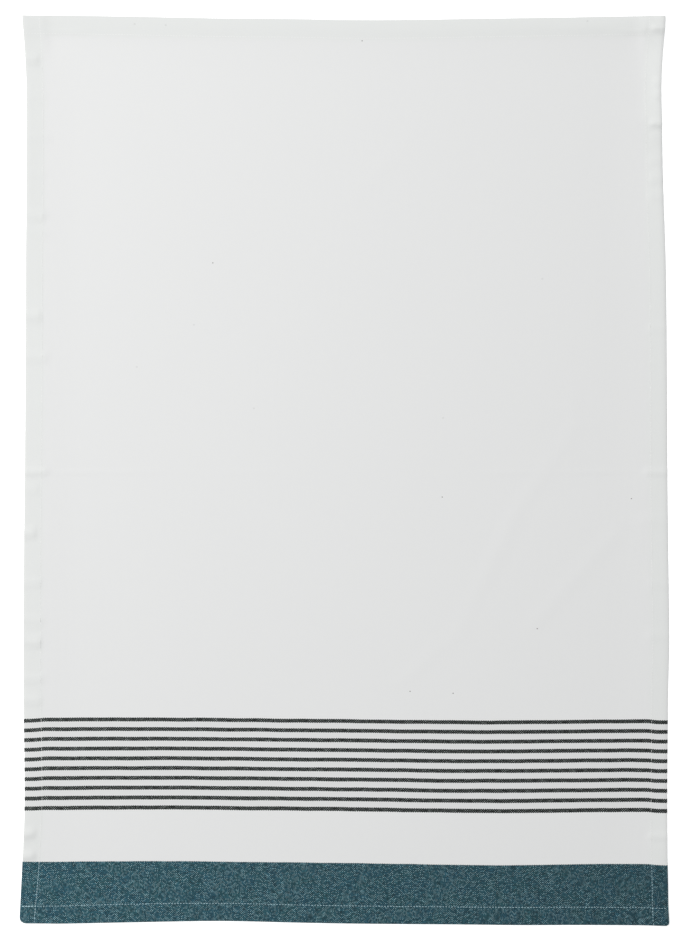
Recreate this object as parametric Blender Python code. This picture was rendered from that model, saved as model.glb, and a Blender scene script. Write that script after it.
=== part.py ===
"""Tea towel: one woven cotton cloth with turned hems, lying face up and almost flat.

Metres, +Z up. The width runs along X and the length along Y, with the coloured band at the -Y end.
The origin is under the middle of the cloth, on the surface that the towel rests on.
"""
import math
from collections import namedtuple

import bmesh
import bpy

MM = 0.001

# Finished size of the towel, hems turned
WIDTH = 500 * MM
LENGTH = 700 * MM

# Cloth and hems. A hem is three layers of the cloth, pressed together and turned to the back.
CLOTH_THICKNESS = 1.0 * MM
HEM_THICKNESS = 2.0 * MM
SIDE_HEM_WIDTH = 14.5 * MM
END_HEM_WIDTH = 15.5 * MM
HEM_STEP = 1.0 * MM          # plan width of the step at a hem's inner edge, on the back
HEM_SLOPE = 15 * MM          # over this length the cloth comes down from a hem to the surface
EDGE_ROUND = 1.2 * MM        # plan depth of the rounded outer fold
EDGE_NOSE = 0.45             # share of the thickness that is left at the outermost line
TOP_CORNER = 1.2 * MM        # radii of the corners in plan
LEFT_CORNER = 5.0 * MM
RIGHT_CORNER = 3.2 * MM

# The woven pattern, on the cloth's own lines before they bow
STRIPE_COUNT = 10
STRIPE_THICKNESS = 2.9 * MM
TOP_STRIPE = -192.35 * MM
STRIPE_PITCH = 7.4 * MM
STRIPE_SPREAD = 0.019 * MM   # the pitch grows by twice this from each stripe to the next
BAND_TOP = -302.1 * MM

GRID_STEP = 16 * MM
CREASE_HALF = 5 * MM

# Where the side edges run, in mm: the place along the length, and how far each edge is drawn in
Sides = namedtuple("Sides", "along left right")
SIDE_EDGES = [
    Sides(350, 2.3, 3.1),
    Sides(336, 3.3, 3.9),
    Sides(318, 4.4, 5.6),
    Sides(293, 5.4, 6.6),
    Sides(262, 5.4, 5.8),
    Sides(236, 5.4, 5.5),
    Sides(208, 5.3, 4.7),
    Sides(162, 4.8, 3.1),
    Sides(101, 4.6, 2.3),
    Sides(-7, 3.9, 1.7),
    Sides(-69, 3.2, 1.0),
    Sides(-130, 2.9, 0.3),
    Sides(-169, 3.0, 1.1),
    Sides(-253, 3.9, 1.9),
    Sides(-292, 2.7, 1.7),
    Sides(-315, 1.7, 1.2),
    Sides(-334, 0.8, 1.0),
    Sides(-350, 0.0, 0.2),
]

# How the crosswise threads bow, in mm: the place across, and the rise at four lines of the cloth
Bow = namedtuple("Bow", "across top stripes band bottom")
WEFT_BOW = [
    Bow(-250, 0.0, 0.2, 1.5, 2.1),
    Bow(-241, 0.0, 0.4, 1.4, 2.0),
    Bow(-233, 0.0, 1.1, 1.4, 1.9),
    Bow(-219, 0.0, 1.1, 1.3, 1.7),
    Bow(-157, -0.9, 1.3, 1.9, 2.9),
    Bow(-96, -2.0, 0.9, 1.6, 3.8),
    Bow(-34, -2.5, 0.3, 0.8, 2.5),
    Bow(-3, -3.1, 0.1, 0.5, 1.9),
    Bow(43, -3.1, -0.5, -0.3, 1.4),
    Bow(89, -2.4, -1.0, -1.0, 1.1),
    Bow(135, -1.7, -1.0, -1.3, 0.6),
    Bow(181, -1.0, -0.6, -0.6, 0.7),
    Bow(234, -0.1, -0.3, -0.4, 0.4),
    Bow(241, 0.0, -0.9, -0.9, 0.2),
    Bow(250, 0.0, -1.0, -1.1, 0.0),
]
STRIPES_MIDDLE = -226.5 * MM

# Soft ridges where the cloth stands off the surface, in mm: the ends of each ridge, half its width,
# and its height. The first two are the fold marks at half the length and half the width.
Ridge = namedtuple("Ridge", "from_x from_y to_x to_y half_width height")
RIDGES = [
    Ridge(-232, -1, 232, -1, 5, 0.6),
    Ridge(2, -190, 2, 330, 6, 0.35),
    Ridge(81, 309, -11, 147, 26, 0.8),
    Ridge(-34, 108, -111, 8, 26, 0.8),
    Ridge(158, 70, 120, -69, 26, 1.1),
    Ridge(120, -69, 35, -138, 26, 0.9),
    Ridge(212, -46, 166, -115, 24, 0.9),
]
RIDGE_TAPER = 30 * MM

# Finishes: sRGB colour, roughness
UNDYED_COTTON = ("#e8e8e6", 0.92)
CHARCOAL_YARN = ("#3a3c3b", 0.90)
TEAL_YARN = ("#3c5960", 0.90)


def curve_through(stations, values, at):
    """A smooth curve through rising stations, read at one place and held level past its ends."""
    if at <= stations[0]:
        return values[0]
    if at >= stations[-1]:
        return values[-1]
    k = max(i for i in range(len(stations) - 1) if stations[i] <= at)

    def tangent(i):
        low, high = max(i - 1, 0), min(i + 1, len(stations) - 1)
        return (values[high] - values[low]) / (stations[high] - stations[low])

    span = stations[k + 1] - stations[k]
    t = (at - stations[k]) / span
    return (
        (2 * t**3 - 3 * t**2 + 1) * values[k]
        + (t**3 - 2 * t**2 + t) * span * tangent(k)
        + (3 * t**2 - 2 * t**3) * values[k + 1]
        + (t**3 - t**2) * span * tangent(k + 1)
    )


def side_inset(side, along):
    """How far the left or right edge is drawn in at this place along the length."""
    rows = SIDE_EDGES[::-1]
    stations = [row.along * MM for row in rows]
    return curve_through(stations, [getattr(row, side) * MM for row in rows], along)


def weft_rise(across, along):
    """How far a crosswise thread rises above its own straight line."""
    stations = [row.across * MM for row in WEFT_BOW]
    lines = [
        (-LENGTH / 2, "bottom"),
        (BAND_TOP, "band"),
        (STRIPES_MIDDLE, "stripes"),
        (LENGTH / 2, "top"),
    ]
    for (low, low_name), (high, high_name) in zip(lines, lines[1:]):
        if along <= high:
            share = (along - low) / (high - low)
            below = curve_through(stations, [getattr(row, low_name) * MM for row in WEFT_BOW], across)
            above = curve_through(stations, [getattr(row, high_name) * MM for row in WEFT_BOW], across)
            return below + (above - below) * share
    raise ValueError("a thread lies past the end of the cloth")


def round_corner(from_side, from_end, radius):
    """Distances from the two edges, with the square corner drawn in to an arc."""
    if from_side >= radius or from_end >= radius:
        return from_side, from_end
    a = 1 - from_side / radius
    b = 1 - from_end / radius
    a, b = a * math.sqrt(1 - b * b / 2), b * math.sqrt(1 - a * a / 2)
    return radius * (1 - a), radius * (1 - b)


def plan_point(across, along):
    """Where a point of the straight cloth lies in plan, with its bowed threads and uneven edges."""
    radius = TOP_CORNER if along > 0 else LEFT_CORNER if across < 0 else RIGHT_CORNER
    from_side, from_end = round_corner(WIDTH / 2 - abs(across), LENGTH / 2 - abs(along), radius)
    across = math.copysign(WIDTH / 2 - from_side, across)
    along = math.copysign(LENGTH / 2 - from_end, along)
    left = -WIDTH / 2 + side_inset("left", along)
    right = WIDTH / 2 - side_inset("right", along)
    x = left + (across / WIDTH + 0.5) * (right - left)
    return x, along + weft_rise(across, along)


def ease(share):
    """0 to 1 with a level start and end."""
    share = min(max(share, 0.0), 1.0)
    return share * share * (3 - 2 * share)


def ridge_height(x, y):
    """Height of the highest soft ridge here, fading out at the ridge's sides and ends."""
    best = 0.0
    for ridge in RIDGES:
        run_x, run_y = (ridge.to_x - ridge.from_x) * MM, (ridge.to_y - ridge.from_y) * MM
        run = math.hypot(run_x, run_y)
        off_x, off_y = x - ridge.from_x * MM, y - ridge.from_y * MM
        along = (off_x * run_x + off_y * run_y) / run
        aside = abs(off_x * run_y - off_y * run_x) / run
        ends = ease(1 - max(-along, along - run, 0.0) / RIDGE_TAPER)
        best = max(best, ridge.height * MM * ends * ease(1 - aside / (ridge.half_width * MM)))
    return best


def hem_rise(distance, hem_width):
    """How far the front is raised by a hem: whole over the hem, then easing down to the surface."""
    return (HEM_THICKNESS - CLOTH_THICKNESS) * ease(1 - (distance - hem_width - HEM_STEP) / HEM_SLOPE)


def front_and_back(across, along, x, y):
    """Heights of the front face and of the back face above the surface."""
    from_side = WIDTH / 2 - abs(across)
    from_end = LENGTH / 2 - abs(along)
    side_rise = hem_rise(from_side, SIDE_HEM_WIDTH)
    end_rise = hem_rise(from_end, END_HEM_WIDTH)
    inside = ease((from_side - SIDE_HEM_WIDTH) / HEM_SLOPE) * ease((from_end - END_HEM_WIDTH) / HEM_SLOPE)
    fold = ridge_height(x, y) * inside
    front = CLOTH_THICKNESS + side_rise + end_rise + fold
    back = fold
    if from_side > SIDE_HEM_WIDTH + HEM_STEP / 2:
        back += side_rise
    if from_end > END_HEM_WIDTH + HEM_STEP / 2:
        back += end_rise
    nose = 1 - min(from_side, from_end) / EDGE_ROUND
    if nose > 0:
        drawn_in = (front - back) * (1 - EDGE_NOSE) / 2 * nose
        front, back = front - drawn_in, back + drawn_in
    return front, back


def stripe_centre(number):
    """The middle line of a stripe, counted from the top one."""
    return TOP_STRIPE - number * (STRIPE_PITCH + STRIPE_SPREAD * number)


def fill_between(marks):
    """The marked lines, with evenly spaced lines added wherever two are far apart."""
    lines = [marks[0]]
    for low, high in zip(marks, marks[1:]):
        parts = max(1, math.ceil((high - low) / GRID_STEP - 0.001))
        lines += [low + (high - low) * k / parts for k in range(1, parts + 1)]
    return lines


def edge_marks(hem_width, *corner_radii):
    """Lines that an edge needs, as distances from it: its fold, its corner arcs, its hem and the slope."""
    slope = hem_width + HEM_STEP
    marks = {0.0, EDGE_ROUND, hem_width / 2, hem_width, slope, slope + HEM_SLOPE / 2, slope + HEM_SLOPE}
    return sorted(marks.union(corner_radii))


def lengthwise_lines():
    """Places across the cloth where the mesh has a line."""
    left = [-WIDTH / 2 + mark for mark in edge_marks(SIDE_HEM_WIDTH, TOP_CORNER, LEFT_CORNER)]
    right = [WIDTH / 2 - mark for mark in reversed(edge_marks(SIDE_HEM_WIDTH, TOP_CORNER, RIGHT_CORNER))]
    crease = [RIDGES[1].from_x * MM + side * CREASE_HALF for side in (-1, 0, 1)]
    return fill_between(left + crease + right)


def crosswise_lines():
    """Places along the cloth where the mesh has a line: hems, band, stripes and the middle crease."""
    bottom = [-LENGTH / 2 + mark for mark in edge_marks(END_HEM_WIDTH, LEFT_CORNER, RIGHT_CORNER)]
    stripes = []
    for number in reversed(range(STRIPE_COUNT)):
        middle = stripe_centre(number)
        stripes += [middle - STRIPE_THICKNESS / 2, middle + STRIPE_THICKNESS / 2]
    crease = [RIDGES[0].from_y * MM + side * CREASE_HALF for side in (-1, 0, 1)]
    top = [LENGTH / 2 - mark for mark in reversed(edge_marks(END_HEM_WIDTH, TOP_CORNER))]
    return fill_between(bottom + [BAND_TOP] + stripes + crease + top)


def srgb_to_linear(hex_colour):
    """A hex colour as linear red, green, blue and alpha."""
    parts = [int(hex_colour[k:k + 2], 16) / 255 for k in (1, 3, 5)]
    return [c / 12.92 if c <= 0.04045 else ((c + 0.055) / 1.055) ** 2.4 for c in parts] + [1.0]


def yarn_finish(name, finish):
    """A plain finish for cloth woven of one yarn."""
    colour, roughness = finish
    material = bpy.data.materials.new(name)
    material.use_nodes = True
    shader = material.node_tree.nodes["Principled BSDF"]
    shader.inputs["Base Color"].default_value = srgb_to_linear(colour)
    shader.inputs["Roughness"].default_value = roughness
    shader.inputs["Metallic"].default_value = 0.0
    material.diffuse_color = srgb_to_linear(colour)
    return material


def yarn_number(along):
    """Which yarn is woven in at this place: 0 undyed, 1 charcoal, 2 teal."""
    if along < BAND_TOP:
        return 2
    for number in range(STRIPE_COUNT):
        if abs(along - stripe_centre(number)) < STRIPE_THICKNESS / 2:
            return 1
    return 0


def make_towel():
    """The cloth as one closed sheet: a grid, extruded to two faces, then laid out line by line."""
    columns, rows = lengthwise_lines(), crosswise_lines()
    sheet = bmesh.new()
    bmesh.ops.create_grid(sheet, x_segments=len(columns) - 1, y_segments=len(rows) - 1, size=0.5)
    column_layer = sheet.verts.layers.int.new("column")
    row_layer = sheet.verts.layers.int.new("row")
    low_x, high_x = min(v.co.x for v in sheet.verts), max(v.co.x for v in sheet.verts)
    low_y, high_y = min(v.co.y for v in sheet.verts), max(v.co.y for v in sheet.verts)
    for vert in sheet.verts:
        vert[column_layer] = round((vert.co.x - low_x) / (high_x - low_x) * (len(columns) - 1))
        vert[row_layer] = round((vert.co.y - low_y) / (high_y - low_y) * (len(rows) - 1))
    for face in sheet.faces:
        lines = {vert[row_layer] for vert in face.verts}
        face.material_index = yarn_number((rows[min(lines)] + rows[max(lines)]) / 2)

    extruded = bmesh.ops.extrude_face_region(sheet, geom=sheet.faces[:])["geom"]
    front_verts = {item for item in extruded if isinstance(item, bmesh.types.BMVert)}
    for vert in sheet.verts:
        across, along = columns[vert[column_layer]], rows[vert[row_layer]]
        x, y = plan_point(across, along)
        front, back = front_and_back(across, along, x, y)
        vert.co = (x, y, front if vert in front_verts else back)
    bmesh.ops.recalc_face_normals(sheet, faces=sheet.faces[:])

    mesh = bpy.data.meshes.new("towel")
    sheet.to_mesh(mesh)
    sheet.free()
    mesh.shade_smooth()
    mesh.set_sharp_from_angle(angle=math.radians(35))
    towel = bpy.data.objects.new("towel", mesh)
    bpy.context.collection.objects.link(towel)
    mesh.materials.append(yarn_finish("undyed cotton cloth", UNDYED_COTTON))
    mesh.materials.append(yarn_finish("charcoal yarn stripes", CHARCOAL_YARN))
    mesh.materials.append(yarn_finish("teal yarn band", TEAL_YARN))
    return towel


for leftover in list(bpy.data.objects):
    bpy.data.objects.remove(leftover, do_unlink=True)
make_towel()
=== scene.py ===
# %% [markdown]
# # A cotton tea towel, laid out flat
#
# The real towel is one length of woven cotton with a double-turned hem on all four sides, sewn down
# with white thread. Ten charcoal stripes and a teal band are woven in near one end.
#
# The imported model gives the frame: the towel's box and a plain sheet. This lesson builds the cloth that
# stands for that sheet, with its folded hems, its stitches and its weave.

# %% Load the frame
import bisect
import math
import random
from collections import namedtuple
from functools import partial

import bmesh
import bpy
import mathutils
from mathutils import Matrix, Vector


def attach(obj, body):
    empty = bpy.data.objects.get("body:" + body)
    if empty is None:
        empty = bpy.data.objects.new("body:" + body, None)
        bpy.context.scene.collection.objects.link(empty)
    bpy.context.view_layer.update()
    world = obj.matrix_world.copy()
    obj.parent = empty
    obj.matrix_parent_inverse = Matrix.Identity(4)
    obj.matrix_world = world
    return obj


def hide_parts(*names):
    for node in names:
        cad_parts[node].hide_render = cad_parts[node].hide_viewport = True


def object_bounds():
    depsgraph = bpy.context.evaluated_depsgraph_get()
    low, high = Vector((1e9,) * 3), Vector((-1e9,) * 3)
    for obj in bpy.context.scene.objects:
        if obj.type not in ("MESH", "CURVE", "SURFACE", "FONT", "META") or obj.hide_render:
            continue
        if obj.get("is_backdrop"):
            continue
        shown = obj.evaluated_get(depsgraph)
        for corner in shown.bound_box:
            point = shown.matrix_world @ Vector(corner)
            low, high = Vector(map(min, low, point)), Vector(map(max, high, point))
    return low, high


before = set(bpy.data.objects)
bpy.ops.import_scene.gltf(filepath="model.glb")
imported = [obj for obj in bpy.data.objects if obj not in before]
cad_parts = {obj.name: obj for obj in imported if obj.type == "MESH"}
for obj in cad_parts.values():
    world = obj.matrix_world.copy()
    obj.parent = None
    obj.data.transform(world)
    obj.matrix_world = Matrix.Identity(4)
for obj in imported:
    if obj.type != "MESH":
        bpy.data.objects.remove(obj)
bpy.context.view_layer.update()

# %% [markdown]
# ## Sizes
#
# A maker starts from the finished size and adds the turnings: the hem itself, and a tuck that hides
# the raw edge inside it. The same few numbers then give the cut length and width.

# %% Finished size, hems and cut size
MM = 0.001
WIDTH = 500 * MM
LENGTH = 700 * MM
CLOTH = 0.32 * MM            # thickness of the woven cloth
LAYER_GAP = 0.03 * MM        # air between pressed layers
SIDE_HEM = 14.5 * MM
END_HEM = 15.5 * MM
TUCK = 10 * MM
CUT_WIDTH = WIDTH + 2 * (SIDE_HEM + TUCK)
CUT_LENGTH = LENGTH + 2 * (END_HEM + TUCK)
TOP_CORNER = 1.2 * MM        # radii of the corners in plan
LEFT_CORNER = 5.0 * MM
RIGHT_CORNER = 3.2 * MM
REST_HEIGHT = 0.12 * MM      # the thread under the hems stands this far proud of the cloth
print(f"cut size {CUT_WIDTH / MM:.0f} by {CUT_LENGTH / MM:.0f} mm")

# %% [markdown]
# ## The outline
#
# A washed and ironed towel is never a true rectangle. Its sides draw in, most of all near the top,
# and its crosswise threads bow. Both could be pushed about by hand in the editor. Here they are two
# short tables, the same as in the towel's solid model.

# %% Tables read by a smooth curve
class Table:
    """Millimetres in rows: a place along a line, and the values there. A smooth curve runs through the
    values, and they are held level past the ends."""

    def __init__(self, names, *rows):
        self.places, *columns = [[value * MM for value in values] for values in zip(*sorted(rows))]
        self.columns = dict(zip(names.split(), columns))

    def read(self, name, at):
        """One column's value at this place."""
        places, values = self.places, self.columns[name]
        if at <= places[0]:
            return values[0]
        if at >= places[-1]:
            return values[-1]
        k = bisect.bisect_right(places, at) - 1

        def tangent(i):
            low, high = max(i - 1, 0), min(i + 1, len(places) - 1)
            return (values[high] - values[low]) / (places[high] - places[low])

        span = places[k + 1] - places[k]
        t = (at - places[k]) / span
        return (
            (2 * t**3 - 3 * t**2 + 1) * values[k]
            + (t**3 - 2 * t**2 + t) * span * tangent(k)
            + (3 * t**2 - 2 * t**3) * values[k + 1]
            + (t**3 - t**2) * span * tangent(k + 1)
        )


print("half way up a step:", Table("height", (0, 0), (10, 1)).read("height", 5 * MM) / MM)

# %% Uneven sides and bowed threads
SIDE_EDGES = Table(
    "left right",
    (350, 2.3, 3.1),
    (336, 3.3, 3.9),
    (318, 4.4, 5.6),
    (293, 5.4, 6.6),
    (262, 5.4, 5.8),
    (236, 5.4, 5.5),
    (208, 5.3, 4.7),
    (162, 4.8, 3.1),
    (101, 4.6, 2.3),
    (-7, 3.9, 1.7),
    (-69, 3.2, 1.0),
    (-130, 2.9, 0.3),
    (-169, 3.0, 1.1),
    (-253, 3.9, 1.9),
    (-292, 2.7, 1.7),
    (-315, 1.7, 1.2),
    (-334, 0.8, 1.0),
    (-350, 0.0, 0.2),
)
WEFT_BOW = Table(
    "top stripes band bottom",
    (-250, 0.0, 0.2, 1.5, 2.1),
    (-241, 0.0, 0.4, 1.4, 2.0),
    (-233, 0.0, 1.1, 1.4, 1.9),
    (-219, 0.0, 1.1, 1.3, 1.7),
    (-157, -0.9, 1.3, 1.9, 2.9),
    (-96, -2.0, 0.9, 1.6, 3.8),
    (-34, -2.5, 0.3, 0.8, 2.5),
    (-3, -3.1, 0.1, 0.5, 1.9),
    (43, -3.1, -0.5, -0.3, 1.4),
    (89, -2.4, -1.0, -1.0, 1.1),
    (135, -1.7, -1.0, -1.3, 0.6),
    (181, -1.0, -0.6, -0.6, 0.7),
    (234, -0.1, -0.3, -0.4, 0.4),
    (241, 0.0, -0.9, -0.9, 0.2),
    (250, 0.0, -1.0, -1.1, 0.0),
)
BAND_TOP = -302.1 * MM
STRIPES_MIDDLE = -226.5 * MM
BOW_LINES = [
    (-LENGTH / 2, "bottom"),
    (BAND_TOP, "band"),
    (STRIPES_MIDDLE, "stripes"),
    (LENGTH / 2, "top"),
]


def weft_rise(across, along):
    """How far a crosswise thread rises above its own straight line."""
    for (low, low_name), (high, high_name) in zip(BOW_LINES, BOW_LINES[1:]):
        if along <= high or high_name == "top":
            below = WEFT_BOW.read(low_name, across)
            above = WEFT_BOW.read(high_name, across)
            return below + (above - below) * (along - low) / (high - low)


print(f"left side draws in by up to {max(SIDE_EDGES.columns['left']) / MM:.1f} mm")

# %% Corners and the plan
def round_corner(from_side, from_end, radius):
    """Distances from the two edges, with the square corner drawn in to an arc."""
    if from_side >= radius or from_end >= radius:
        return from_side, from_end
    a = 1 - from_side / radius
    b = 1 - from_end / radius
    a, b = a * math.sqrt(1 - b * b / 2), b * math.sqrt(1 - a * a / 2)
    return radius * (1 - a), radius * (1 - b)


def plan_point(across, along):
    """Where a point of the straight towel lies in plan, with its bowed threads and uneven edges."""
    radius = TOP_CORNER if along > 0 else LEFT_CORNER if across < 0 else RIGHT_CORNER
    from_side, from_end = round_corner(WIDTH / 2 - abs(across), LENGTH / 2 - abs(along), radius)
    across = math.copysign(WIDTH / 2 - from_side, across)
    along = math.copysign(LENGTH / 2 - from_end, along)
    left = -WIDTH / 2 + SIDE_EDGES.read("left", along)
    right = WIDTH / 2 - SIDE_EDGES.read("right", along)
    x = left + (across / WIDTH + 0.5) * (right - left)
    return x, along + weft_rise(across, along)


print("bottom left corner at", [round(place / MM, 1) for place in plan_point(-WIDTH / 2, -LENGTH / 2)])

# %% [markdown]
# ## The hems
#
# A double-turned hem is three layers of the same cloth. From its cut edge the cloth runs inwards in a
# short tuck, round the inner fold, out again in the turning at the back, and round the outer fold to
# the front. It could be faked by thickening the rim. Folding the real length of cloth gives the true
# edge instead: a soft outer fold, a step inside, and layers that show from the side. The side hems are
# sewn first, so an end hem folds three layers at the corners, and its folds are wider there.

# %% Folding a hem
def fold_radii(stack):
    """Radii of the outer and the inner fold, at the middle of the front layer, for a stack this thick."""
    return (3 * stack - CLOTH) / 2 + LAYER_GAP, stack - (CLOTH - LAYER_GAP) / 2


def fold_centres(stack, hem_width):
    """How far the middles of the outer and the inner fold lie from the finished edge."""
    outer, inner = fold_radii(stack)
    return outer + CLOTH / 2, hem_width - inner - CLOTH / 2


def hem_runs(hem_width):
    """Lengths of cloth in the tuck, the inner fold, the turning and the outer fold of a plain hem."""
    outer, inner = fold_radii(CLOTH)
    outer_centre, inner_centre = fold_centres(CLOTH, hem_width)
    folds = math.pi * (inner + outer)
    tuck = hem_width + TUCK + outer_centre - folds - (inner_centre - outer_centre)
    return tuck, math.pi * inner, inner_centre - outer_centre, math.pi * outer


def fold_hem(reach, depth, hem_width, stack):
    """A point of a hemmed cloth: its distance from the finished edge, and its height over the middle
    of the front layer. Its reach is measured along the cloth from the cut edge."""
    outer, inner = fold_radii(stack)
    outer_centre, inner_centre = fold_centres(stack, hem_width)
    tuck, inner_fold, turning, outer_fold = hem_runs(hem_width)
    if reach < tuck:
        return inner_centre - (tuck - reach), -2 * outer + 2 * inner + depth
    reach -= tuck
    if reach < inner_fold:
        angle = math.pi * (0.5 - reach / inner_fold)
        radius = inner + depth
        return inner_centre + radius * math.cos(angle), inner - 2 * outer + radius * math.sin(angle)
    reach -= inner_fold
    if reach < turning:
        return inner_centre + (outer_centre - inner_centre) * reach / turning, -2 * outer - depth
    reach -= turning
    if reach < outer_fold:
        angle = math.pi * (-0.5 - reach / outer_fold)
        radius = outer + depth
        return outer_centre + radius * math.cos(angle), -outer + radius * math.sin(angle)
    reach -= outer_fold
    plain_centre = fold_centres(CLOTH, hem_width)[0]
    distance = plain_centre + reach
    if distance < hem_width:
        distance = outer_centre + reach * (hem_width - outer_centre) / (hem_width - plain_centre)
    return distance, depth


HEM_STACK = CLOTH + 2 * fold_radii(CLOTH)[0]
print("runs of a side hem:", [round(run / MM, 2) for run in hem_runs(SIDE_HEM)], "mm")
print(f"a hem is {HEM_STACK / MM:.2f} mm thick")

# %% [markdown]
# ## How high the cloth lies
#
# The towel is three layers thick at its rim and one layer in the middle, so the middle hangs down to
# the table from the hems. Ironing leaves a fold mark at half the length, and the cloth keeps a few long
# slack ridges. Each is a row of millimetres in a list: two ends, half a width and a height. A hem also
# puckers where its thread pulls, and there the whole hem lifts a little.

# %% Ridges and puckers
Fold = namedtuple("Fold", "from_x from_y to_x to_y half_width height")
RIDGES = [Fold(*row) for row in (
    (-236, -1, -150, -1, 4, 0.35),
    (-120, -1, 90, -1, 4, 0.12),
    (120, -1, 236, -1, 4, 0.25),
    (176, 70, 174, 10, 9, 0.25),
    (174, 30, 131, -34, 10, 0.35),
    (131, -34, 88, -123, 10, 0.40),
    (88, -123, 50, -157, 11, 0.35),
    (206, -50, 148, -115, 10, 0.35),
    (212, 165, 225, 95, 8, 0.25),
    (62, 270, 12, 215, 14, 0.20),
)]
PUCKERS = [Fold(*row) for row in (
    (-248, 317, -238, 316, 5, 1.20),
    (-248, 288, -231, 288, 4, 0.30),
    (-248, 257, -229, 256, 5, 0.40),
    (-248, 228, -231, 229, 3, 0.25),
    (-248, 197, -232, 196, 5, 0.80),
    (-248, 184, -230, 183, 4, 0.40),
    (-248, 119, -236, 119, 5, 1.20),
    (-248, 88, -231, 87, 5, 0.80),
    (-248, -1, -231, -1, 5, 0.80),
    (-248, -14, -238, -14, 4, 0.70),
    (-248, -48, -240, -48, 5, 1.50),
    (-248, -86, -236, -86, 5, 0.80),
    (-248, -114, -234, -115, 4, 0.80),
    (-248, -131, -236, -132, 5, 1.40),
    (-248, -160, -234, -160, 4, 0.80),
    (-248, -176, -236, -177, 5, 1.00),
    (-250, -280, -241, -279, 6, 1.25),
    (-250, -297, -241, -296, 6, 1.25),
    (250, 339, 239, 340, 3, 1.40),
    (229, 338, 214, 338, 4, 0.50),
    (246, 298, 240, 298, 4, 1.50),
    (246, 289, 240, 289, 4, 1.50),
    (246, 266, 238, 267, 4, 1.30),
    (229, 270, 223, 271, 3, 0.35),
    (246, 256, 238, 256, 5, 0.60),
    (246, 239, 237, 239, 5, 0.80),
    (246, 225, 237, 225, 5, 1.00),
    (246, 211, 236, 211, 5, 0.80),
    (248, 110, 236, 110, 4, 0.60),
    (250, -1, 233, -1, 5, 0.70),
    (250, -38, 228, -38, 4, 0.50),
    (250, -87, 236, -87, 4, 0.40),
    (250, -128, 235, -127, 5, 0.50),
    (250, -281, 236, -281, 5, 0.60),
    (-226, 338, -202, 338, 3, 0.25),
)]
RIDGE_TAPER = 30 * MM
PUCKER_TAPER = 5 * MM


def ease(share):
    """0 to 1 with a level start and end."""
    share = min(max(share, 0.0), 1.0)
    return share * share * (3 - 2 * share)


def highest_fold(folds, taper, x, y):
    """Height here of the highest soft fold in a list, fading out at its sides and ends."""
    best = 0.0
    for fold in folds:
        off_x, off_y = x - fold.from_x * MM, y - fold.from_y * MM
        run_x, run_y = (fold.to_x - fold.from_x) * MM, (fold.to_y - fold.from_y) * MM
        run = math.hypot(run_x, run_y)
        aside = abs(off_x * run_y - off_y * run_x) / run
        if aside < fold.half_width * MM:
            along = (off_x * run_x + off_y * run_y) / run
            ends = ease(1 - max(-along, along - run, 0.0) / taper)
            best = max(best, fold.height * MM * ends * ease(1 - aside / (fold.half_width * MM)))
    return best


print(len(RIDGES), "ridges and", len(PUCKERS), "puckers")

# %% Slow swell and fine puckers
SWELL = 0.25 * MM            # height of the slow unevenness between the folds
WIDE_WAVE, LONG_WAVE, SLANT_WAVE = 31 * MM, 43 * MM, 24 * MM    # lengths of the waves over 2 pi
WIDE_BEND, LONG_BEND = 57 * MM, 38 * MM                         # and of those that bend two of them
FINE_PUCKER = 0.22 * MM      # height of the small puckers along every seam
FINE_PUCKER_LENGTH = 9 * MM
PUCKER_PLACE = 0.8           # of the hem's width from its edge: just outside its seam


def slow_swell(x, y):
    """The gentle unevenness of cloth that was smoothed out by hand, from three long waves."""
    waves = (
        math.sin(x / WIDE_WAVE + 1.3 * math.sin(y / WIDE_BEND))
        + math.sin(y / LONG_WAVE + 0.9 * math.sin(x / LONG_BEND + 1.0))
        + math.sin((x + 0.8 * y) / SLANT_WAVE + 2.0)
    )
    return SWELL * (waves / 3 + 1) / 2


def fine_puckers(from_side, from_end, x, y):
    """Small uneven puckers across the hems, where the thread gathers the cloth."""
    height = 0.0
    hems = ((from_side, SIDE_HEM, y, x > 0), (from_end, END_HEM, x, 2 + (y > 0)))
    for from_edge, hem, along, seed in hems:
        share = ease(1 - abs(from_edge - PUCKER_PLACE * hem) / hem)
        if share:
            place = (along / FINE_PUCKER_LENGTH, from_edge / (3 * FINE_PUCKER_LENGTH), 10.0 * seed)
            height += FINE_PUCKER * share * (0.5 + 0.5 * mathutils.noise.noise(place))
    return height


print(f"swell in the middle of the towel: {slow_swell(0.0, 0.0) / MM:.2f} mm")

# %% [markdown]
# A hem tips up a little towards its rim, and droop is what the rim loses again where it rounds over. The
# right hem curls near the top corner and beside the band. The top one tips up more towards the left, and
# towards the right it is puffed up, so its rim slopes down.

# %% How the rims tip
SIDE_LIFT = Table(
    "left right right_droop",
    (350, 1.3, 2.1, 0.95),
    (341, 1.5, 2.2, 0.95),
    (335, 1.5, 0.7, 0.95),
    (330, 1.5, 1.7, 0.95),
    (316, 1.5, 4.2, 0.95),
    (292, 1.4, 3.8, 0.95),
    (268, 1.4, 3.6, 0.95),
    (262, 1.4, 1.4, 0.95),
    (235, 1.4, 2.3, 0.95),
    (120, 0.3, 1.5, 0.80),
    (-120, 0.2, 1.0, 0.60),
    (-245, 0.3, 1.1, 0.60),
    (-284, 0.8, 2.4, 0.60),
    (-312, 0.7, 1.2, 0.60),
    (-350, 0.5, 1.0, 0.60),
)
TOP_LIFT = Table(
    "lift droop",
    (-250, 3.2, 0.3),
    (-100, 2.1, 0.8),
    (50, 1.4, 1.2),
    (150, 1.9, 1.8),
    (215, 2.9, 2.7),
    (250, 2.2, 1.6),
)
BOTTOM_LIFT = 0.5 * MM
LEFT_DROOP = 0.15 * MM
SIDE_ROUND = 3.2 * MM        # a side rim rounds over within this distance
TOP_ROUND = 11 * MM
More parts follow.
